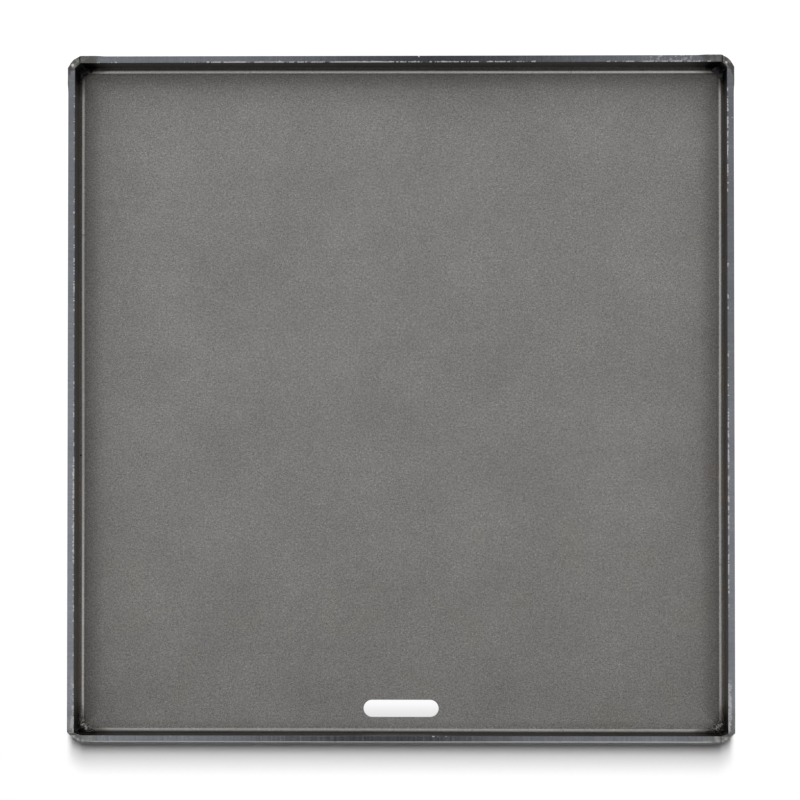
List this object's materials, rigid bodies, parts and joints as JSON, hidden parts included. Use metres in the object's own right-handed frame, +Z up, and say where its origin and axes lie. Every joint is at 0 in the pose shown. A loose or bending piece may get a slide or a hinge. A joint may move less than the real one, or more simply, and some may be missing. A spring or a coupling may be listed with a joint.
{
  "type": "flat top griddle",
  "caption": "Shallow rectangular griddle tray folded from thick steel plate, with upstand edges, welded corners and an obround grease slot near the front.",
  "frame": {"origin": "centre of the underside, on the surface that the griddle rests on", "axes": "+X to the right seen from the front, +Y from the grease slot edge (front) to the back, +Z up"},
  "size_m": [0.458, 0.4714, 0.0302],
  "materials": {
    "plate_steel": "blasted matt grey floor, darker folded walls, blue-grey cut edges",
    "seam_weld": "weld bead ground back, slightly rough",
    "root_weld": "as-welded, dark heat scale, rough"
  },
  "bodies": {
    "root": {"griddle_pan": "plate_steel", "corner_weld_back_left": "seam_weld", "corner_weld_back_right": "seam_weld", "corner_weld_front_left": "seam_weld", "corner_weld_front_right": "seam_weld", "root_weld_back_left": "root_weld", "root_weld_back_right": "root_weld", "root_weld_front_left": "root_weld", "root_weld_front_right": "root_weld"}
  },
  "joints": []
}
